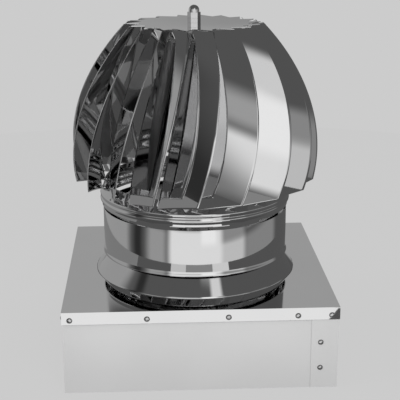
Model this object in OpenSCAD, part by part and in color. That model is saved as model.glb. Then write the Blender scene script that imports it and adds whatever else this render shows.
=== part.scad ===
// Square wind-driven chimney cowl: a sheet-metal base box that laps over a square flue,
// a conical neck, a fixed drum with two bearing bridges, and an 18-vane turbine head.
// Millimetres, +Z up, the front of the base faces -Y. The origin is at the bottom centre.

/* [Base box] */
// Outer side of the square lid
base_side = 300; // [270:1:340]
// Height from the bottom edge to the top of the lid
base_height = 94.6; // [80:0.1:120]
// Sheet thickness of skirt and lid
base_sheet = 0.8; // [0.6:0.1:1.2]
// Depth of the lid's turned-down rim
rim_depth = 14; // [12:0.5:20]
// Height of the folded hem at the bottom edge
hem_height = 6.5; // [5:0.5:10]
// Distance of the lapped seam edge from the middle of the front
seam_x = 119.6; // [110:0.1:125]
// Rivets on each side of the lid rim, measured from the middle of the side
rim_rivets = [-141.2, -58.5, 29.4, 104.5, 141.2];
// Depth of the rim rivets below the top of the lid
rim_rivet_drop = 9; // [6:0.5:10]

/* [Neck and drum] */
// Radius of the neck where it passes through the lid
neck_base_radius = 117.5; // [110:0.5:125]
// Outer radius of the flue pipe
pipe_radius = 100; // [97:0.5:101]
// Height above the lid at which the cone meets the pipe
cone_rise = 23.4; // [18:0.1:28]
// Sheet thickness of neck, drum and turbine ring
tube_sheet = 0.8; // [0.6:0.1:1]
// Outer radius of the fixed drum
drum_radius = 107.8; // [107:0.1:108]
// Height above the lid of the drum's lower edge
drum_lift = 22.4; // [18:0.1:26]
// Height of the drum
drum_height = 53; // [48:0.5:54]

/* [Turbine] */
// Number of vanes
vane_count = 18;
// Thickness of the vane sheet
vane_sheet = 0.6; // [0.5:0.1:0.8]
// Height of the crown plate's top above the lid
crown_lift = 287.9; // [287:0.1:289]
// Radius at the tips of the crown plate's teeth
crown_tip_radius = 76; // [74:0.5:77]
// Radius at the notches of the crown plate
crown_notch_radius = 61; // [59:0.5:62]
// Radius at the top edge of the turbine ring
ring_top_radius = 105; // [104.5:0.1:105.2]
// Height of the turbine ring
ring_height = 28.6; // [27:0.1:28.6]

/* [Bearings] */
// Diameter of the spindle in the bearings and at its thread
spindle_d = 8; // [7.5:0.1:8]
// Diameter of the spindle between bearings and crown
spindle_body_d = 12; // [11:0.1:12]
// Outer diameter of a bearing
bearing_d = 22; // [22:0.1:23]
// Width of a bearing
bearing_w = 7; // [6.5:0.1:7]
// Diameter of the bearing balls
ball_d = 3.96; // [3.8:0.01:3.96]
// Balls in each bearing
ball_count = 7; // [6:1:7]
// Width across the flats of the top nuts
nut_flats = 13; // [12:0.5:14]

/* [Hidden] */
// fine curves carry over as true circles
$fn = 96;
// gap between sheets that are riveted or screwed together
sheet_gap = 0.1;
// radial clearance of a rivet or screw in its hole
hole_gap = 0.05;
// small overshoot of a cutting tool
over = 1;

// levels
z_lid = base_height;
z_lid_under = z_lid - base_sheet;
z_cone_top = z_lid + cone_rise;
z_drum = z_lid + drum_lift;
z_drum_top = z_drum + drum_height;
z_crown = z_lid + crown_lift;
z_ring_gap = 4;
z_ring = z_drum_top + z_ring_gap;
z_ring_top = z_ring + ring_height;

// skirt, one sheet that starts under its own lap on the front
skirt_side = base_side - 2 * (base_sheet + sheet_gap);
skirt_top = z_lid_under - sheet_gap;
lap_step = base_sheet + sheet_gap;
skirt_half = skirt_side / 2;
lap_width = skirt_half - seam_x;
lap_under = lap_width - 6;
hem_gap_left = 32;
rivet_d = 3.2;
rivet_head_d = 6.4;
rivet_head_h = 1.5;
seam_rivet_x = seam_x + 10.4;
seam_rivet_z = [23.5, 53.5];

// neck
neck_flange = 10;
neck_hole_gap = 0.3;
pipe_top = z_drum_top - 3;

// drum
drum_lip = 1.4;
drum_lip_h = 4.5;
bracket_count = 6;
bracket_z = z_drum + 18;
bracket_h = 20;
bracket_sheet = 1;
bracket_foot = 8;
bracket_inset = 1;
bracket_turn = 15;
bracket_rivet_z = bracket_z + bracket_h / 2;

// bearing bridges
bridge_w = 24;
bridge_t = 3;
bridge_hub_d = 52;
bridge_tab = 16;
bridge_tab_t = 2;
z_bridge_low = z_drum + 9;
housing_len = 27;
z_housing = z_bridge_low + bridge_t;
z_housing_top = z_housing + housing_len;
z_bridge_high = z_housing_top;
housing_d = 30;
housing_flange_d = 50;
housing_flange_t = 4;
housing_pcd = 40;
race_seat_gap = 0.02;
seat_depth = bearing_w + sheet_gap;
housing_bore = bearing_d - 4;
hub_hole_d = bearing_d - 6;
screw_d = 4;
screw_head_d = 7;
screw_head_h = 3;
screw_nut_flats = 7;
screw_nut_h = 3.2;
screw_tail = 1;

// bearings
race_in_d = 12;
race_out_d = 18;
ball_ring_r = (race_in_d + race_out_d) / 4;
groove_gap = 0.05;
z_bearing_low = z_housing + sheet_gap / 2;
z_bearing_high = z_housing_top - seat_depth + sheet_gap / 2;
spindle_fit = 0.01;

// spindle
z_spindle_low = z_bearing_low - 6;
clip_z = z_bearing_low - 0.1 - 1;
clip_t = 0.9;
clip_groove = 0.6;
clip_d = 12;
z_shoulder = z_bearing_high + bearing_w + 0.05;
crown_sheet = 0.8;
z_crown_under = z_crown - crown_sheet;
backing_t = 3;
backing_r = 56;
backing_boss_r = 48;
z_flange_top = z_crown_under - sheet_gap;
z_flange = z_flange_top - vane_sheet;
z_backing = z_flange - sheet_gap - backing_t;
z_spindle_top = z_crown + 17;
thread_gap = 0.02;
lock_nut_h = 5;
acorn_hex_h = 6.5;
acorn_h = 14.6;
acorn_dome_d = nut_flats - 1;

// vane surface: a piece of a cylinder whose axis slopes downwards to the outside
vane_turn = -43;
vane_slope = 20;
vane_step = 360 / vane_count;
vane_radius = 283.7;
vane_axis_v = -180.1;
vane_axis_w = 208.2;
edge_out_u = -155.5;
edge_out_w = 230.8;
edge_out_r = 172.6;
edge_in_u = -389.8;
edge_in_w = 176.8;
edge_in_r = 356.6;
vane_low_out = [17.5, 223.3];
vane_low_in = [-34, 192];
vane_top_w = 400;
vane_u_min = -115;
vane_depth = 130;
flange_in_r = 50;
flange_step = 0.05;
flange_turn = 12.1;
flange_sweep = vane_step - 0.6;
foot_turn = -23.5;
foot_sweep = 8;
foot_low = z_ring_top - 10;
foot_bend = z_ring_top - 3.2;
foot_rise = 6.5;
foot_reach = 13;
foot_gap = 0.1;
vane_rivet_turn = foot_turn + foot_sweep / 2;
vane_rivet_z = z_ring_top - 6.4;
ring_slope_h = 12.1;
ring_slope = 17.9;
ring_shoulder_r = ring_top_radius + ring_slope_h * tan(ring_slope);
ring_bead_r = ring_shoulder_r + 2.1;

// Part shown: all, or one of the names above

// point at a radius and an azimuth measured from the front
function around(r, az) = [r * sin(az), -r * cos(az)];

// radius of the turbine ring's outer face at a height, on its upper slope
function ring_r(z) = ring_top_radius + (z_ring_top - z) * tan(ring_slope);

// dome rivet along +Z: head above the sheets, shank through them, shop head behind
module rivet(grip, head_d, head_h) {
    cap_r = (head_d * head_d / 4 + head_h * head_h) / (2 * head_h);
    intersection() {
        translate([0, 0, head_h - cap_r])
            sphere(cap_r);
        cylinder(d = head_d, h = head_h);
    }
    translate([0, 0, -grip - hole_gap * 2])
        cylinder(d = rivet_d, h = grip + hole_gap * 2);
    translate([0, 0, -grip - hole_gap * 2 - 1])
        cylinder(d = rivet_d + 1.6, h = 1);
}

// places its children on the four sides of the base, z axis outwards
module on_sides(reach, x, z) {
    for (side = [0:3])
        rotate([0, 0, 90 * side])
            translate([x, -reach, z])
                rotate([90, 0, 0])
                    children();
}

// places its children at a radius and azimuth, z axis outwards
module on_radius(r, az, z) {
    rotate([0, 0, az])
        translate([0, -r, z])
            rotate([90, 0, 0])
                children();
}

module rim_rivet_places(reach) {
    for (x = rim_rivets)
        on_sides(reach, x, z_lid - rim_rivet_drop)
            children();
}

module seam_rivet_places(reach) {
    for (z = seam_rivet_z)
        translate([seam_rivet_x, -reach, z])
            rotate([90, 0, 0])
                children();
}

module rivet_hole(depth) {
    translate([0, 0, -depth])
        cylinder(d = rivet_d + 2 * hole_gap, h = depth + over);
}

// plan of the wrapped skirt sheet
module skirt_plan() {
    t = base_sheet;
    h = skirt_half;
    // left, back and right walls
    translate([-h, -h + lap_step])
        square([t, 2 * h - lap_step]);
    translate([-h, h - t])
        square([2 * h, t]);
    translate([h - t, -h])
        square([t, 2 * h]);
    // front wall, which runs in under the lap
    translate([-h, -h + lap_step])
        square([h + seam_x + lap_under, t]);
    // lap of the right wall on the front
    translate([seam_x, -h])
        square([lap_width, t]);
}

// bottom hem: the sheet folded once inwards
module hem_plan() {
    t = base_sheet;
    h = skirt_half;
    inner = h - 2 * t;
    translate([-h + t, -inner])
        square([t, 2 * inner - t]);
    translate([-inner + hem_gap_left, inner])
        square([2 * inner - 2 * hem_gap_left, t]);
    translate([inner, -inner + lap_step + 6])
        square([t, 2 * inner - hem_gap_left]);
}

module base_skirt() {
    color("gainsboro")
        difference() {
            union() {
                linear_extrude(skirt_top)
                    skirt_plan();
                linear_extrude(hem_height)
                    hem_plan();
                translate([-skirt_half + hem_gap_left, -skirt_half + lap_step + base_sheet, 0])
                    cube([skirt_half + seam_x - hem_gap_left, base_sheet, hem_height]);
            }
            rim_rivet_places(skirt_half)
                rivet_hole(3 * base_sheet);
            seam_rivet_places(skirt_half)
                rivet_hole(3 * base_sheet);
        }
}

module base_lid() {
    color("silver")
        difference() {
            translate([-base_side / 2, -base_side / 2, z_lid - rim_depth])
                cube([base_side, base_side, rim_depth]);
            translate([-base_side / 2 + base_sheet, -base_side / 2 + base_sheet, z_lid - rim_depth - over])
                cube([base_side - 2 * base_sheet, base_side - 2 * base_sheet, rim_depth + over - base_sheet]);
            translate([0, 0, z_lid_under - over])
                cylinder(r = neck_base_radius + neck_hole_gap, h = base_sheet + 2 * over);
            rim_rivet_places(base_side / 2)
                rivet_hole(3 * base_sheet);
        }
}

module lid_rivets() {
    color("gray")
        rim_rivet_places(base_side / 2)
            rivet(2 * base_sheet + lap_step + sheet_gap, rivet_head_d, rivet_head_h);
}

module seam_rivets() {
    color("gray")
        seam_rivet_places(skirt_half)
            rivet(2 * base_sheet + sheet_gap, rivet_head_d, rivet_head_h);
}

module flue_neck() {
    t = tube_sheet;
    under = z_lid_under - sheet_gap;
    color("silver")
        difference() {
            rotate_extrude()
                polygon([
                    [neck_base_radius + neck_flange, under - t],
                    [neck_base_radius + neck_flange, under],
                    [neck_base_radius, under],
                    [neck_base_radius, z_lid],
                    [pipe_radius, z_cone_top],
                    [pipe_radius, pipe_top],
                    [pipe_radius - t, pipe_top],
                    [pipe_radius - t, z_cone_top - 0.3],
                    [neck_base_radius - t, z_lid - 0.3],
                    [neck_base_radius - t, under - t]
                ]);
            bracket_rivet_places(pipe_radius)
                rivet_hole(3 * t);
            bridge_rivet_places(pipe_radius)
                rivet_hole(3 * t);
        }
}

module drum() {
    t = tube_sheet;
    color("silver")
        rotate_extrude()
            polygon([
                [drum_radius + drum_lip - t, z_drum],
                [drum_radius + drum_lip, z_drum],
                [drum_radius + drum_lip, z_drum + t],
                [drum_radius, z_drum + drum_lip_h],
                [drum_radius, z_drum_top],
                [drum_radius - t, z_drum_top],
                [drum_radius - t, z_drum + drum_lip_h]
            ]);
}

module bracket_rivet_places(r) {
    for (i = [0:bracket_count - 1])
        on_radius(r, bracket_turn + i * 360 / bracket_count - 4, bracket_rivet_z)
            children();
}

// Z-shaped clips between pipe and drum: a riveted foot on the pipe, a web, a welded foot in the drum
module drum_brackets() {
    in_r = pipe_radius + sheet_gap;
    out_r = drum_radius - tube_sheet - sheet_gap;
    t = bracket_sheet;
    color("darkgray")
        for (i = [0:bracket_count - 1])
            rotate([0, 0, bracket_turn + i * 360 / bracket_count - 90])
                translate([0, 0, bracket_z])
                    difference() {
                        union() {
                            rotate([0, 0, -bracket_foot])
                                rotate_extrude(angle = bracket_foot)
                                    translate([in_r, 0])
                                        square([t, bracket_h]);
                            rotate_extrude(angle = bracket_foot)
                                translate([out_r - t, 0])
                                    square([t, bracket_h]);
                            translate([in_r + t / 2, -t / 2, bracket_inset])
                                cube([out_r - in_r - t, t, bracket_h - 2 * bracket_inset]);
                        }
                        rotate([0, 0, 90 - 4])
                            on_radius(in_r + t, 0, bracket_h / 2)
                                rivet_hole(2 * t);
                    }
}

module bracket_rivets() {
    grip = tube_sheet + bracket_sheet + sheet_gap;
    color("gray")
        bracket_rivet_places(pipe_radius + sheet_gap + bracket_sheet)
            rivet(grip, 5, 1.2);
}

module bridge_rivet_places(r) {
    rise = bridge_t / 2 + bridge_tab / 2;
    for (i = [0:3])
        for (side = [-5, 5])
            on_radius(r, 90 * i + side, i % 2 == 1 ? z_bridge_low + rise : z_bridge_high + bridge_t - rise)
                children();
}

// one bearing bridge along X, its end tabs turned up against the pipe
module bridge(z) {
    out_r = pipe_radius - tube_sheet - sheet_gap;
    difference() {
        union() {
            intersection() {
                translate([-out_r, -bridge_w / 2, z])
                    cube([2 * out_r, bridge_w, bridge_t]);
                translate([0, 0, z])
                    cylinder(r = out_r, h = bridge_t);
            }
            translate([0, 0, z])
                cylinder(d = bridge_hub_d, h = bridge_t);
            intersection() {
                translate([-out_r, -bridge_w / 2, z])
                    cube([2 * out_r, bridge_w, bridge_tab]);
                difference() {
                    translate([0, 0, z])
                        cylinder(r = out_r, h = bridge_tab);
                    translate([0, 0, z - over])
                        cylinder(r = out_r - bridge_tab_t, h = bridge_tab + 2 * over);
                }
            }
        }
        translate([0, 0, z - over])
            cylinder(d = hub_hole_d, h = bridge_t + 2 * over);
        housing_screw_places(z - over)
            cylinder(d = screw_d + 2 * hole_gap, h = bridge_t + 2 * over);
    }
}

module bridge_lower() {
    color("darkgray")
        difference() {
            bridge(z_bridge_low);
            bridge_rivet_places(pipe_radius)
                rivet_hole(5);
        }
}

module bridge_upper() {
    color("darkgray")
        difference() {
            translate([0, 0, z_bridge_high + bridge_t])
                mirror([0, 0, 1])
                    rotate([0, 0, 90])
                        bridge(0);
            bridge_rivet_places(pipe_radius)
                rivet_hole(5);
        }
}

module bridge_rivets() {
    color("gray")
        bridge_rivet_places(pipe_radius)
            rivet(tube_sheet + sheet_gap + bridge_tab_t, 5, 1.2);
}

module housing_screw_places(z) {
    for (i = [0:3])
        rotate([0, 0, 45 + 90 * i])
            translate([housing_pcd / 2, 0, z])
                children();
}

module bearing_housing() {
    seat_d = bearing_d + 2 * race_seat_gap;
    color("slategray")
        difference() {
            translate([0, 0, z_housing])
                union() {
                    cylinder(d = housing_d, h = housing_len);
                    cylinder(d = housing_flange_d, h = housing_flange_t);
                    translate([0, 0, housing_len - housing_flange_t])
                        cylinder(d = housing_flange_d, h = housing_flange_t);
                }
            translate([0, 0, z_housing - over])
                cylinder(d = housing_bore, h = housing_len + 2 * over);
            translate([0, 0, z_housing - over])
                cylinder(d = seat_d, h = seat_depth + over);
            translate([0, 0, z_housing_top - seat_depth])
                cylinder(d = seat_d, h = seat_depth + over);
            housing_screw_places(z_housing - over)
                cylinder(d = screw_d + 2 * hole_gap, h = housing_len + 2 * over);
        }
}

// socket-less pan screws, one set under the lower bridge and one over the upper bridge
module screw(grip) {
    difference() {
        cylinder(d = screw_head_d, h = screw_head_h);
        translate([-screw_head_d, -0.5, screw_head_h - 1])
            cube([2 * screw_head_d, 1, 2]);
    }
    translate([0, 0, -grip - screw_nut_h - screw_tail])
        cylinder(d = screw_d, h = grip + screw_nut_h + screw_tail);
}

module housing_screws() {
    grip = bridge_t + housing_flange_t;
    color("gray") {
        housing_screw_places(z_bridge_high + bridge_t)
            screw(grip);
        housing_screw_places(z_bridge_low)
            mirror([0, 0, 1])
                screw(grip);
    }
}

module housing_nuts() {
    bore = screw_d + 2 * hole_gap;
    color("gray") {
        housing_screw_places(z_housing + housing_flange_t)
            hex_nut(screw_nut_flats, screw_nut_h, bore);
        housing_screw_places(z_housing_top - housing_flange_t - screw_nut_h)
            hex_nut(screw_nut_flats, screw_nut_h, bore);
    }
}

module hex_nut(flats, height, bore) {
    difference() {
        cylinder(d = flats / cos(30), h = height, $fn = 6);
        translate([0, 0, -over])
            cylinder(d = bore, h = height + 2 * over);
    }
}

// running groove of both races
module ball_groove(z) {
    translate([0, 0, z + bearing_w / 2])
        rotate_extrude()
            translate([ball_ring_r, 0])
                circle(d = ball_d + 2 * groove_gap);
}

module outer_race(z) {
    difference() {
        translate([0, 0, z])
            cylinder(d = bearing_d, h = bearing_w);
        translate([0, 0, z - over])
            cylinder(d = race_out_d - 1, h = bearing_w + 2 * over);
        ball_groove(z);
    }
}

module inner_race(z) {
    difference() {
        translate([0, 0, z])
            cylinder(d = race_in_d + 1, h = bearing_w);
        translate([0, 0, z - over])
            cylinder(d = spindle_d + 2 * spindle_fit, h = bearing_w + 2 * over);
        ball_groove(z);
    }
}

module balls(z) {
    for (i = [0:ball_count - 1])
        rotate([0, 0, i * 360 / ball_count])
            translate([ball_ring_r, 0, z + bearing_w / 2])
                sphere(d = ball_d);
}

module outer_race_low() {
    color("lightsteelblue")
        outer_race(z_bearing_low);
}

module outer_race_high() {
    color("lightsteelblue")
        outer_race(z_bearing_high);
}

module inner_race_low() {
    color("lightsteelblue")
        inner_race(z_bearing_low);
}

module inner_race_high() {
    color("lightsteelblue")
        inner_race(z_bearing_high);
}

module balls_low() {
    color("white")
        balls(z_bearing_low);
}

module balls_high() {
    color("white")
        balls(z_bearing_high);
}

module spacer_sleeve() {
    low = z_bearing_low + bearing_w + 0.02;
    high = z_bearing_high - 0.02;
    color("burlywood")
        difference() {
            translate([0, 0, low])
                cylinder(d = race_in_d, h = high - low);
            translate([0, 0, low - over])
                cylinder(d = spindle_d + 2 * hole_gap, h = high - low + 2 * over);
        }
}

module spindle() {
    color("lightgray")
        difference() {
            union() {
                translate([0, 0, z_spindle_low])
                    cylinder(d = spindle_d, h = z_spindle_top - z_spindle_low);
                translate([0, 0, z_shoulder])
                    cylinder(d = spindle_body_d, h = z_backing - z_shoulder);
            }
            difference() {
                translate([0, 0, clip_z])
                    cylinder(d = spindle_body_d, h = 1);
                translate([0, 0, clip_z - over])
                    cylinder(d = spindle_d - 2 * clip_groove, h = 1 + 2 * over);
            }
        }
}

// open snap ring in the spindle's groove
module spindle_clip() {
    bore = spindle_d - 2 * clip_groove + 2 * hole_gap;
    color("dimgray")
        difference() {
            translate([0, 0, clip_z + 0.05])
                cylinder(d = clip_d, h = clip_t);
            translate([0, 0, clip_z - over])
                cylinder(d = bore, h = clip_t + 2 * over);
            translate([0, -bore * 0.35, clip_z - over])
                cube([clip_d, bore * 0.7, clip_t + 2 * over]);
        }
}

module crown_backing() {
    color("darkgray")
        difference() {
            union() {
                translate([0, 0, z_backing])
                    cylinder(r = backing_r, h = backing_t);
                translate([0, 0, z_backing])
                    cylinder(r = backing_boss_r, h = z_flange_top - z_backing);
            }
            translate([0, 0, z_backing - over])
                cylinder(d = spindle_d + 2 * hole_gap, h = 10);
        }
}

module crown_plate() {
    tip_turn = 12.2;
    notch_turn = 16.8;
    color("silver")
        difference() {
            translate([0, 0, z_crown_under])
                linear_extrude(crown_sheet)
                    polygon([
                        for (i = [0:vane_count - 1])
                            for (p = [[crown_tip_radius, tip_turn], [crown_notch_radius, notch_turn]])
                                around(p[0], p[1] + i * vane_step)
                    ]);
            translate([0, 0, z_crown_under - over])
                cylinder(d = spindle_d + 2 * hole_gap, h = crown_sheet + 2 * over);
        }
}

module lock_nut() {
    color("gray")
        translate([0, 0, z_crown + 0.05])
            hex_nut(nut_flats, lock_nut_h, spindle_d + 2 * thread_gap);
}

module acorn_nut() {
    low = z_crown + lock_nut_h + 0.15;
    depth = z_spindle_top - low + 0.4;
    color("gainsboro")
        translate([0, 0, low])
            difference() {
                union() {
                    cylinder(d = nut_flats / cos(30), h = acorn_hex_h, $fn = 6);
                    cylinder(d = acorn_dome_d, h = acorn_h - acorn_dome_d / 2);
                    translate([0, 0, acorn_h - acorn_dome_d / 2])
                        sphere(d = acorn_dome_d);
                }
                translate([0, 0, -over])
                    cylinder(d = spindle_d + 2 * thread_gap, h = depth + over);
            }
}

// ring that carries the feet of the vanes, with two beads over the drum
module turbine_ring() {
    t = tube_sheet;
    top = z_ring_top;
    face = [
        [ring_top_radius, top],
        [ring_shoulder_r, top - ring_slope_h],
        [ring_bead_r - 0.2, top - 14],
        [ring_bead_r, top - 15.6],
        [ring_bead_r - 1, top - 17.6],
        [ring_bead_r - 1.4, top - 18.6],
        [ring_bead_r - 0.5, top - 20.1],
        [ring_bead_r, top - 21.6],
        [ring_bead_r - 0.5, top - 23.6],
        [ring_shoulder_r, top - ring_height]
    ];
    color("silver")
        difference() {
            rotate_extrude()
                polygon(concat(face, [
                    for (i = [len(face) - 1:-1:0])
                        [face[i][0] - t, face[i][1]]
                ]));
            vane_rivet_places()
                rivet_hole(4);
        }
}

module vane_rivet_places() {
    for (i = [0:vane_count - 1])
        one_vane_rivet_place(i)
            children();
}

module one_vane_rivet_place(i) {
    lift = foot_gap + vane_sheet + 0.1;
    rotate([0, 0, vane_rivet_turn + i * vane_step])
        translate([0, -ring_r(vane_rivet_z), vane_rivet_z])
            rotate([90 - ring_slope, 0, 0])
                translate([0, 0, lift])
                    children();
}

module vane_rivets() {
    color("gray")
        vane_rivet_places()
            rivet(vane_sheet + foot_gap + tube_sheet + 0.2, 5, 1.4);
}

// solid inside the vane's outer face, in the vane's own tilted frame
module vane_face(inset) {
    translate([vane_u_min - 10, -vane_axis_v, vane_axis_w])
        rotate([0, 90, 0])
            cylinder(r = vane_radius - inset, h = 180);
}

module vane_frame() {
    rotate([0, 0, vane_turn])
        rotate([0, vane_slope, 0])
            children();
}

// leaf outline of a vane, seen along its normal
module vane_outline() {
    rotate([90, 0, 0])
        linear_extrude(vane_depth)
            difference() {
                intersection() {
                    translate([edge_out_u, edge_out_w])
                        circle(edge_out_r);
                    polygon([
                        vane_low_out,
                        [40, vane_low_out[1]],
                        [40, vane_top_w],
                        [vane_u_min, vane_top_w],
                        [vane_u_min, vane_low_in[1]],
                        vane_low_in
                    ]);
                }
                translate([edge_in_u, edge_in_w])
                    circle(edge_in_r);
            }
}

// sector of revolution between two azimuths
module sector(turn, sweep) {
    rotate([0, 0, turn - 90])
        rotate_extrude(angle = sweep)
            children();
}

// foot of the vane: the corner set in against the ring
module vane_foot() {
    t = vane_sheet;
    g = foot_gap;
    low_r = ring_r(foot_low) + g;
    bend_r = ring_r(foot_bend) + g;
    difference() {
        sector(foot_turn, foot_sweep)
            polygon([
                [low_r, foot_low],
                [low_r + t, foot_low],
                [bend_r + t, foot_bend],
                [bend_r + foot_reach, foot_bend + foot_rise],
                [bend_r + foot_reach, foot_bend + foot_rise + t],
                [bend_r, foot_bend + t]
            ]);
        one_vane_rivet_place(0)
            rivet_hole(4);
    }
}

// curved sheet of the vane, cut away behind the bend of the foot
module vane_blade() {
    foot_r = ring_r(foot_bend) + foot_gap;
    half = vane_sheet / 2;
    difference() {
        vane_frame()
            intersection() {
                difference() {
                    vane_face(0);
                    vane_face(vane_sheet);
                }
                vane_outline();
            }
        translate([-200, -200, z_flange_top])
            cube([400, 400, 50]);
        sector(foot_turn - 6, foot_sweep + 5.8)
            polygon([
                [foot_r - 2, foot_low - 20],
                [foot_r - 2, foot_bend - 1 + half],
                [foot_r, foot_bend + half],
                [foot_r + foot_reach, foot_bend + foot_rise + half],
                [foot_r + foot_reach + 20, foot_bend + foot_rise + half],
                [foot_r + foot_reach + 20, foot_low - 20]
            ]);
    }
}

module vane() {
    vane_blade();
    // flange under the crown plate, then the foot
    intersection() {
        vane_frame()
            vane_face(vane_sheet / 2);
        union() {
            sector(flange_turn - flange_sweep, flange_sweep)
                translate([flange_in_r, z_flange])
                    square([40, vane_sheet - flange_step]);
            vane_foot();
        }
    }
}

module vane_at(i) {
    color("silver")
        rotate([0, 0, i * vane_step])
            vane();
}

module vane_01() { vane_at(0); }
module vane_02() { vane_at(1); }
module vane_03() { vane_at(2); }
module vane_04() { vane_at(3); }
module vane_05() { vane_at(4); }
module vane_06() { vane_at(5); }
module vane_07() { vane_at(6); }
module vane_08() { vane_at(7); }
module vane_09() { vane_at(8); }
module vane_10() { vane_at(9); }
module vane_11() { vane_at(10); }
module vane_12() { vane_at(11); }
module vane_13() { vane_at(12); }
module vane_14() { vane_at(13); }
module vane_15() { vane_at(14); }
module vane_16() { vane_at(15); }
module vane_17() { vane_at(16); }
module vane_18() { vane_at(17); }

base_skirt();
base_lid();
lid_rivets();
seam_rivets();
flue_neck();
drum();
drum_brackets();
bracket_rivets();
bridge_lower();
bridge_upper();
bridge_rivets();
bearing_housing();
housing_screws();
housing_nuts();
outer_race_low();
outer_race_high();
balls_low();
balls_high();
inner_race_low();
inner_race_high();
spacer_sleeve();
spindle();
spindle_clip();
crown_backing();
crown_plate();
lock_nut();
acorn_nut();
turbine_ring();
vane_rivets();
vane_01();
vane_02();
vane_03();
vane_04();
vane_05();
vane_06();
vane_07();
vane_08();
vane_09();
vane_10();
vane_11();
vane_12();
vane_13();
vane_14();
vane_15();
vane_16();
vane_17();
vane_18();
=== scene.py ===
import math
import bmesh
import bpy
from mathutils import Matrix, Vector


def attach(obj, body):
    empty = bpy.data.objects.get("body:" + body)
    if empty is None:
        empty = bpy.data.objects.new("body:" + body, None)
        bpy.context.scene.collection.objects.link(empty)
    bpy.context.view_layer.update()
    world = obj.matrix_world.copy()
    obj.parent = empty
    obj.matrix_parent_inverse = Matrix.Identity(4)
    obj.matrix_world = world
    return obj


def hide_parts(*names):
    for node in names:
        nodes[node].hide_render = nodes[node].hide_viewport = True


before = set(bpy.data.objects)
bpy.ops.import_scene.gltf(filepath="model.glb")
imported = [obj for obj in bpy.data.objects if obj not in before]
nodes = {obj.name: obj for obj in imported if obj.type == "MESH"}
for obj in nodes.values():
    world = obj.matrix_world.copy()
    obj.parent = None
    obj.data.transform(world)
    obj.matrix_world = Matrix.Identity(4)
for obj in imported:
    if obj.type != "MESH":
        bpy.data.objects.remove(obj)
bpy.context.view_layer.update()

mm = 0.001
scene = bpy.context.scene


def newPiece(name, bm, body, material, replaced=(), smoothAngle=40):
    mesh = bpy.data.meshes.new(name)
    bm.to_mesh(mesh)
    bm.free()
    piece = bpy.data.objects.new(name, mesh)
    scene.collection.objects.link(piece)
    mesh.materials.append(material)
    for face in mesh.polygons:
        face.use_smooth = True
    mesh.set_sharp_from_angle(angle=math.radians(smoothAngle))
    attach(piece, body)
    if replaced:
        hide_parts(*replaced)
    return piece


# closed profile of (radius, height) in mm, spun round Z
def lathe(profile, steps):
    bm = bmesh.new()
    verts = [bm.verts.new((r * mm, 0, z * mm)) for r, z in profile]
    edges = [bm.edges.new((verts[i], verts[(i + 1) % len(verts)])) for i in range(len(verts))]
    bmesh.ops.spin(bm, geom=verts + edges, cent=(0, 0, 0), axis=(0, 0, 1), angle=2 * math.pi,
                   steps=steps, use_merge=True, use_duplicate=False)
    bmesh.ops.remove_doubles(bm, verts=bm.verts, dist=1e-6)
    bmesh.ops.recalc_face_normals(bm, faces=bm.faces)
    return bm


def noiseNode(tree, coords, scale, detail):
    noise = tree.nodes.new("ShaderNodeTexNoise")
    noise.inputs["Scale"].default_value = scale
    noise.inputs["Detail"].default_value = detail
    tree.links.new(coords.outputs["Object"], noise.inputs["Vector"])
    return noise


# bare steel: faint smudges in tone and roughness, and slow ripples of the sheet
def steel(name, tone, roughness, wave=0.0, waveScale=9.0):
    mat = bpy.data.materials.new(name)
    mat.use_nodes = True
    tree = mat.node_tree
    shader = tree.nodes["Principled BSDF"]
    shader.inputs["Metallic"].default_value = 1.0
    coords = tree.nodes.new("ShaderNodeTexCoord")
    smudge = noiseNode(tree, coords, 14.0, 4.0)
    toneRamp = tree.nodes.new("ShaderNodeValToRGB")
    toneRamp.color_ramp.elements[0].color = (tone * 0.94, tone * 0.94, tone * 0.945, 1)
    toneRamp.color_ramp.elements[1].color = (tone, tone, tone, 1)
    tree.links.new(smudge.outputs["Fac"], toneRamp.inputs["Fac"])
    tree.links.new(toneRamp.outputs["Color"], shader.inputs["Base Color"])
    roughRange = tree.nodes.new("ShaderNodeMapRange")
    roughRange.inputs["To Min"].default_value = roughness * 0.7
    roughRange.inputs["To Max"].default_value = roughness * 1.4
    tree.links.new(smudge.outputs["Fac"], roughRange.inputs["Value"])
    tree.links.new(roughRange.outputs["Result"], shader.inputs["Roughness"])
    if wave > 0:
        ripples = noiseNode(tree, coords, waveScale, 1.0)
        bump = tree.nodes.new("ShaderNodeBump")
        bump.inputs["Strength"].default_value = 1.0
        bump.inputs["Distance"].default_value = wave
        tree.links.new(ripples.outputs["Fac"], bump.inputs["Height"])
        tree.links.new(bump.outputs["Normal"], shader.inputs["Normal"])
    return mat


# sheet under its pale protective film
def filmSkin():
    mat = bpy.data.materials.new("filmedSheet")
    mat.use_nodes = True
    tree = mat.node_tree
    shader = tree.nodes["Principled BSDF"]
    coords = tree.nodes.new("ShaderNodeTexCoord")
    cloud = noiseNode(tree, coords, 11.0, 5.0)
    tone = tree.nodes.new("ShaderNodeValToRGB")
    tone.color_ramp.elements[0].color = (0.66, 0.66, 0.66, 1)
    tone.color_ramp.elements[1].color = (0.74, 0.74, 0.74, 1)
    tree.links.new(cloud.outputs["Fac"], tone.inputs["Fac"])
    tree.links.new(tone.outputs["Color"], shader.inputs["Base Color"])
    shader.inputs["Roughness"].default_value = 0.45
    shader.inputs["Metallic"].default_value = 0.2
    return mat


mirrorSteel = steel("mirrorSteel", 0.8, 0.03, wave=0.0004, waveScale=7.0)
lidSteel = steel("lidSteel", 0.8, 0.03, wave=0.0006, waveScale=6.0)
plainSteel = steel("plainSteel", 0.6, 0.3)
brightSteel = steel("brightSteel", 0.75, 0.12)
filmSteel = filmSkin()
print("materials ready")

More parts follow.
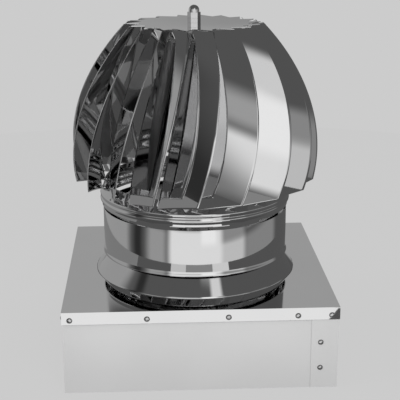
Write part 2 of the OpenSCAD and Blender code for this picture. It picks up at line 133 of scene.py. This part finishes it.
vaneShape = dict(count=18, turn=-43.0, slope=20.0, radius=283.7, axisV=-180.1, axisW=208.2,
                 outU=-155.5, outW=230.8, outR=172.6, inU=-389.8, inW=176.8, inR=356.6,
                 lowIn=192.0, lowOut=223.3, top=381.6, topGuess=380.0, sheet=0.6,
                 across=22, along=84)


# a grid bent on to the vane's tilted cylinder, between its two rounded edges
def vaneMesh(index):
    s = vaneShape
    turn = math.radians(s["turn"] + 360 / s["count"] * index)
    slope = math.radians(-s["slope"])
    t = Vector((math.cos(turn), math.sin(turn), 0))
    normal = Vector((math.sin(turn), -math.cos(turn), 0))
    along = math.cos(slope) * t + math.sin(slope) * Vector((0, 0, 1))
    upward = -math.sin(slope) * t + math.cos(slope) * Vector((0, 0, 1))

    def edges(w):
        outer = s["outU"] + math.sqrt(max(s["outR"] ** 2 - (w - s["outW"]) ** 2, 0))
        inner = s["inU"] + math.sqrt(s["inR"] ** 2 - (w - s["inW"]) ** 2)
        return inner, outer

    # height in the vane's own frame at which the sheet meets the level of the crown
    def topW(share):
        w = s["topGuess"]
        for _ in range(12):
            inner, outer = edges(w)
            u = inner + (outer - inner) * share
            w = (s["top"] - u * math.sin(slope)) / math.cos(slope)
        return w

    bm = bmesh.new()
    bmesh.ops.create_grid(bm, x_segments=s["across"], y_segments=s["along"], size=0.5)
    for v in bm.verts:
        share, rise = v.co.x + 0.5, v.co.y + 0.5
        lowW = s["lowIn"] + (s["lowOut"] - s["lowIn"]) * share
        w = lowW + (topW(share) - lowW) * rise
        inner, outer = edges(w)
        u = inner + (outer - inner) * share
        depth = s["axisV"] + math.sqrt(s["radius"] ** 2 - (w - s["axisW"]) ** 2)
        v.co = (u * along + depth * normal + w * upward) * mm
    bmesh.ops.recalc_face_normals(bm, faces=bm.faces)
    return bm


for index in range(vaneShape["count"]):
    piece = newPiece("vaneSkin_%02d" % (index + 1), vaneMesh(index), "turbine",
                     mirrorSteel, replaced=["vane_%02d" % (index + 1)])
    wall = piece.modifiers.new("sheet", "SOLIDIFY")
    wall.thickness = vaneShape["sheet"] * mm
    wall.offset = 0
print("vanes ready")

# ring with its two beads, drum with its flared lower lip, and neck with cone and pipe
ringShape = dict(steps=256, sheet=0.8, smooth=50, face=[
    (105, 202.6), (107.0, 196.4), (108.9, 190.5), (110.5, 189.2), (111.0, 187.9),
    (110.9, 186.6), (110.1, 185.2), (109.6, 184.2), (109.9, 183.2), (110.7, 182.2),
    (111.0, 181.0), (110.8, 179.8), (109.9, 178.4), (109.0, 176.6), (108.9, 174.0)])
inside = [(r - ringShape["sheet"], z) for r, z in reversed(ringShape["face"])]
newPiece("ringSkin", lathe(ringShape["face"] + inside, ringShape["steps"]), "turbine",
         mirrorSteel, replaced=["turbine_ring"], smoothAngle=ringShape["smooth"])
drumShape = dict(steps=256, smooth=50, face=[
    (109.2, 117.0), (109.2, 117.8), (108.6, 119.4), (108.0, 121.0), (107.8, 122.4),
    (107.8, 169.6), (107.5, 170.0), (107.0, 169.8), (107.0, 122.4), (107.3, 120.6),
    (108.2, 118.0), (108.4, 117.0)])
newPiece("drumSkin", lathe(drumShape["face"], drumShape["steps"]), "base",
         mirrorSteel, replaced=["drum"], smoothAngle=drumShape["smooth"])
neckShape = dict(steps=256, smooth=50, face=[
    (127.5, 92.9), (127.5, 93.7), (117.5, 93.7), (117.5, 94.6), (116.6, 96.2),
    (101.0, 116.6), (100.0, 118.8), (100.0, 167), (99.2, 167), (99.2, 118.4),
    (116.0, 95.8), (116.7, 92.9)])
newPiece("neckSkin", lathe(neckShape["face"], neckShape["steps"]), "base",
         mirrorSteel, replaced=["flue_neck"], smoothAngle=neckShape["smooth"])
print("turned sheets ready")

finishes = dict(base_skirt=filmSteel, base_lid=lidSteel, crown_plate=mirrorSteel,
                lid_rivets=brightSteel, seam_rivets=brightSteel, vane_rivets=brightSteel,
                lock_nut=brightSteel, acorn_nut=brightSteel)
for nodeName, node in nodes.items():
    node.data.materials.clear()
    node.data.materials.append(finishes.get(nodeName, plainSteel))
print("finishes ready")

studio = dict(background=0.604, openSky=0.10, diffuseTone=0.7, floorRadius=1.2, floorPaint=0.62,
              floorGlow=0.10, cameraShare=0.9, cardLift=0.001, cardSteps=8)
# what the polished steel sees: azimuth from the camera side (+ to the right), half width,
# soft edge, elevation, half height, soft edge, tone; later lines lie over earlier ones
surroundings = [
    (-135, 45, 12, 8, 18, 9, 0.36),
    (-50, 12, 12, 4, 13, 7, 0.36),
    (-76, 6, 9, 10, 28, 12, 0.03),
    (180, 20, 10, 18, 12, 6, 0.38),
    (85, 25, 12, -2, 10, 7, 0.27),
    (75, 12, 8, 16, 4, 4, 0.27),
    (42, 18, 9, 14, 6, 5, 0.30),
    (42, 18, 9, -5, 13, 6, 0.62),
    (-15, 18, 12, 29, 7, 9, 0.40),
    (-2, 32, 9, 5, 14, 6, 0.86),
    (14, 9, 6, 24, 16, 8, 1.00),
    (26, 7, 6, 40, 9, 7, 0.75),
]

world = bpy.data.worlds.new("studio")
scene.world = world
world.use_nodes = True
sky = world.node_tree


def mathNode(tree, operation, a, b=None):
    node = tree.nodes.new("ShaderNodeMath")
    node.operation = operation
    for slotIndex, value in enumerate((a, b)):
        if value is None:
            continue
        if hasattr(value, "is_output"):
            tree.links.new(value, node.inputs[slotIndex])
        else:
            node.inputs[slotIndex].default_value = value
    return node.outputs[0]


# 1 inside the window, 0 outside, with a soft edge
def softWindow(tree, distance, half, soft):
    node = tree.nodes.new("ShaderNodeMapRange")
    node.interpolation_type = "SMOOTHSTEP"
    node.inputs["From Min"].default_value = math.radians(half - soft / 2)
    node.inputs["From Max"].default_value = math.radians(half + soft / 2)
    node.inputs["To Min"].default_value = 1.0
    node.inputs["To Max"].default_value = 0.0
    tree.links.new(distance, node.inputs["Value"])
    return node.outputs["Result"]


# under + (over - under) * share
def blendTone(tree, under, over, share):
    step = mathNode(tree, "SUBTRACT", over, under)
    return mathNode(tree, "ADD", under, mathNode(tree, "MULTIPLY", step, share))


heading = sky.nodes.new("ShaderNodeTexCoord").outputs["Generated"]
parts = sky.nodes.new("ShaderNodeSeparateXYZ")
sky.links.new(heading, parts.inputs[0])
rise = mathNode(sky, "ARCSINE", parts.outputs["Z"])
level = sky.nodes.new("ShaderNodeCombineXYZ")
sky.links.new(parts.outputs["X"], level.inputs["X"])
sky.links.new(parts.outputs["Y"], level.inputs["Y"])
flat = sky.nodes.new("ShaderNodeVectorMath")
flat.operation = "NORMALIZE"
sky.links.new(level.outputs[0], flat.inputs[0])
tone = mathNode(sky, "ADD", studio["openSky"], 0.0)
for azimuth, half, soft, elevation, halfHeight, softHeight, strength in surroundings:
    turn = math.radians(azimuth)
    toward = sky.nodes.new("ShaderNodeVectorMath")
    toward.operation = "DOT_PRODUCT"
    sky.links.new(flat.outputs[0], toward.inputs[0])
    toward.inputs[1].default_value = (math.sin(turn), -math.cos(turn), 0)
    aside = mathNode(sky, "ARCCOSINE", mathNode(sky, "MINIMUM", toward.outputs["Value"], 1.0))
    offLevel = mathNode(sky, "ABSOLUTE", mathNode(sky, "SUBTRACT", rise, math.radians(elevation)))
    share = mathNode(sky, "MULTIPLY", softWindow(sky, aside, half, soft),
                     softWindow(sky, offLevel, halfHeight, softHeight))
    tone = blendTone(sky, tone, strength, share)
rays = sky.nodes.new("ShaderNodeLightPath")
seen = blendTone(sky, tone, studio["diffuseTone"], rays.outputs["Is Diffuse Ray"])
seen = blendTone(sky, seen, studio["background"], rays.outputs["Is Camera Ray"])
sky.links.new(seen, sky.nodes["Background"].inputs["Strength"])
sky.nodes["Background"].inputs["Color"].default_value = (1, 1, 1, 1)
print("surroundings ready")


def stageMesh(name, corners):
    bm = bmesh.new()
    bm.faces.new([bm.verts.new(c) for c in corners])
    mesh = bpy.data.meshes.new(name)
    bm.to_mesh(mesh)
    bm.free()
    plane = bpy.data.objects.new(name, mesh)
    scene.collection.objects.link(plane)
    return plane


def stageMaterial(name):
    mat = bpy.data.materials.new(name)
    mat.use_nodes = True
    tree = mat.node_tree
    tree.nodes.remove(tree.nodes["Principled BSDF"])
    return mat, tree, tree.nodes["Material Output"]


def circlePoints(radius, count=64):
    turns = [2 * math.pi * i / count for i in range(count)]
    return [(radius * math.cos(a), radius * math.sin(a), 0) for a in turns]


# plain floor that takes the shadow: pale to the camera, dark in the polished steel
floor = stageMesh("floor", circlePoints(studio["floorRadius"]))
floorMat, tree, out = stageMaterial("floor")
paint = tree.nodes.new("ShaderNodeBsdfDiffuse")
paint.inputs["Color"].default_value = (studio["floorPaint"],) * 3 + (1,)
seenFloor = tree.nodes.new("ShaderNodeEmission")
seenFloor.inputs["Strength"].default_value = studio["background"]
path = tree.nodes.new("ShaderNodeLightPath")
floorGlow = tree.nodes.new("ShaderNodeEmission")
floorGlow.inputs["Strength"].default_value = studio["floorGlow"]
cameraMix = tree.nodes.new("ShaderNodeMixShader")
cameraMix.inputs[0].default_value = studio["cameraShare"]
tree.links.new(paint.outputs[0], cameraMix.inputs[1])
tree.links.new(seenFloor.outputs[0], cameraMix.inputs[2])
glossMix = tree.nodes.new("ShaderNodeMixShader")
tree.links.new(path.outputs["Is Glossy Ray"], glossMix.inputs[0])
tree.links.new(cameraMix.outputs[0], glossMix.inputs[1])
tree.links.new(floorGlow.outputs[0], glossMix.inputs[2])
tree.links.new(glossMix.outputs[0], out.inputs["Surface"])
floor.data.materials.append(floorMat)

# reflector cards lying on the floor, seen only in the steel:
# name, first and last azimuth, near and far radius, tone
floorCards = [
    ("frontCard", -27, 27, 0.25, 0.42, 0.95),
    ("leftStrip", -30, -13, 0.42, 1.19, 0.62),
    ("middleStrip", -13, 17, 0.42, 1.19, 0.27),
    ("rightStrip", 17, 36, 0.42, 1.19, 0.72),
    ("leftField", -155, -72, 0.28, 1.19, 0.23),
]
for name, start, end, near, far, strength in floorCards:
    steps = studio["cardSteps"]
    arc = [math.radians(start + (end - start) * i / steps) for i in range(steps + 1)]
    rim = [(near, a) for a in arc] + [(far, a) for a in reversed(arc)]
    card = stageMesh(name, [(r * math.sin(a), -r * math.cos(a), studio["cardLift"]) for r, a in rim])
    cardMat, tree, out = stageMaterial(name)
    glow = tree.nodes.new("ShaderNodeEmission")
    glow.inputs["Strength"].default_value = strength
    tree.links.new(glow.outputs[0], out.inputs["Surface"])
    card.data.materials.append(cardMat)
    card.visible_camera = False
    card.visible_diffuse = False
    card.visible_shadow = False

lamps = [
    dict(name="keyLamp", place=(0.5, -2.4, 1.5), size=1.4, energy=26),
    dict(name="sideLamp", place=(-2.2, -0.6, 1.6), size=1.2, energy=10),
]
lampTarget = Vector((0, 0, 0.2))
for values in lamps:
    lamp = bpy.data.objects.new(values["name"], bpy.data.lights.new(values["name"], "AREA"))
    scene.collection.objects.link(lamp)
    lamp.data.size = values["size"]
    lamp.data.energy = values["energy"]
    lamp.location = values["place"]
    lamp.rotation_euler = (lampTarget - lamp.location).to_track_quat("-Z", "Y").to_euler()
    lamp.visible_glossy = False
    lamp.visible_camera = False
print("studio ready")

view = dict(yaw=2.823, pitch=-16.473, roll=-0.178, place=(-0.05283, -1.19659, 0.52741),
            lens=94.83, sensor=36, near=0.05, far=60)
yaw, pitch, roll = (math.radians(view[k]) for k in ("yaw", "pitch", "roll"))
forward = Vector((math.sin(yaw) * math.cos(pitch), math.cos(yaw) * math.cos(pitch), math.sin(pitch)))
right = forward.cross(Vector((0, 0, 1))).normalized()
above = right.cross(forward)
rolledRight = math.cos(roll) * right + math.sin(roll) * above
rolledUp = math.cos(roll) * above - math.sin(roll) * right
camera = bpy.data.objects.new("camera", bpy.data.cameras.new("camera"))
scene.collection.objects.link(camera)
placed = Matrix((rolledRight, rolledUp, -forward)).transposed().to_4x4()
placed.translation = Vector(view["place"])
camera.matrix_world = placed
camera.data.lens = view["lens"]
camera.data.sensor_width = view["sensor"]
camera.data.clip_start, camera.data.clip_end = view["near"], view["far"]
scene.camera = camera
scene.view_settings.view_transform = "Standard"
print("camera ready")
